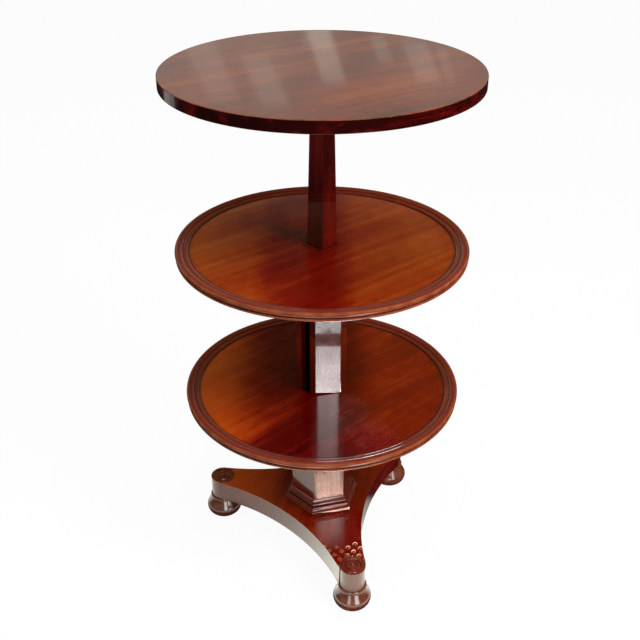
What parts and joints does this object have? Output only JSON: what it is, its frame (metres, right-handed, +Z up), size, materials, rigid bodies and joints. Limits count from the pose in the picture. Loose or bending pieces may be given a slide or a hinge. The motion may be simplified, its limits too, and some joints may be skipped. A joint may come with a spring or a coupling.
{
  "type": "dumbwaiter serving stand",
  "caption": "Three tier round dumbwaiter stand with moulded trays on a telescopic column that slides down to a low stack, on a concave triangular platform with bun feet.",
  "frame": {"origin": "on the floor, on the column's axis, at the centre of the base of the bounding box", "axes": "+Z up along the column, -Y towards the front foot with the carved arm, +X to its right"},
  "size_m": [0.6099, 0.61, 1.123],
  "materials": {
    "table_top": "polished",
    "tray_boards": "polished",
    "moulded_rims": "polished",
    "mahogany": "polished",
    "underside_wood": "oiled",
    "brass": "aged satin"
  },
  "bodies": {
    "stand": {"platform": "mahogany", "corner_drum_front": "mahogany", "scroll_front": "mahogany", "bun_foot_front": "mahogany", "corner_drum_right": "mahogany", "scroll_right": "mahogany", "bun_foot_right": "mahogany", "corner_drum_left": "mahogany", "scroll_left": "mahogany", "bun_foot_left": "mahogany", "carved_pips": "mahogany", "base_plinth": "mahogany", "base_bead": "mahogany", "lower_stave_1": "mahogany", "lower_stave_2": "mahogany", "lower_stave_3": "mahogany", "lower_stave_4": "mahogany", "lower_stave_5": "mahogany", "lower_stave_6": "mahogany", "lower_clamp_plate": "brass", "lower_clamp_plate_screws": "brass", "lower_guide": "underside_wood", "well_board": "underside_wood", "well_board_screws": "brass", "lower_tray_rim": "moulded_rims", "lower_tray_floor": "tray_boards", "lower_tray_batten_front": "underside_wood", "lower_tray_batten_back": "underside_wood", "lower_tray_screws": "brass"},
    "lower_clamp": {"lower_clamp_screw": "brass"},
    "middle_stage": {"middle_stave_1": "mahogany", "middle_stave_2": "mahogany", "middle_stave_3": "mahogany", "middle_stave_4": "mahogany", "middle_stave_5": "mahogany", "slot_stile_left": "mahogany", "slot_stile_right": "mahogany", "slot_head": "mahogany", "slot_foot": "mahogany", "middle_clamp_plate": "brass", "middle_clamp_plate_screws": "brass", "middle_flange": "underside_wood", "post_guide": "underside_wood", "post_escutcheon": "mahogany", "middle_tray_rim": "moulded_rims", "middle_tray_floor": "tray_boards", "middle_tray_batten_front": "underside_wood", "middle_tray_batten_back": "underside_wood", "middle_tray_screws": "brass"},
    "middle_clamp": {"middle_clamp_screw": "brass"},
    "upper_stage": {"post": "mahogany", "post_foot_block": "underside_wood", "slot_peg": "underside_wood", "round_top": "table_top", "top_batten_front": "underside_wood", "top_batten_back": "underside_wood", "top_screws": "brass", "top_block": "underside_wood"}
  },
  "joints": [
    {"name": "middle_stage_slide", "type": "slide", "parent": "stand", "child": "middle_stage", "axis": [0, 0, 1], "range_m": [-0.302, 0]},
    {"name": "upper_stage_slide", "type": "slide", "parent": "middle_stage", "child": "upper_stage", "axis": [0, 0, 1], "range_m": [-0.31, 0]},
    {"name": "lower_clamp_turn", "type": "hinge", "parent": "stand", "child": "lower_clamp", "pos_m": [0.06062, 0.035, 0.4], "axis": [0.866, 0.5, 0], "range_deg": [0, 180]},
    {"name": "middle_clamp_turn", "type": "hinge", "parent": "middle_stage", "child": "middle_clamp", "pos_m": [0.05196, 0.03, 0.74], "axis": [0.866, 0.5, 0], "range_deg": [0, 180]}
  ]
}
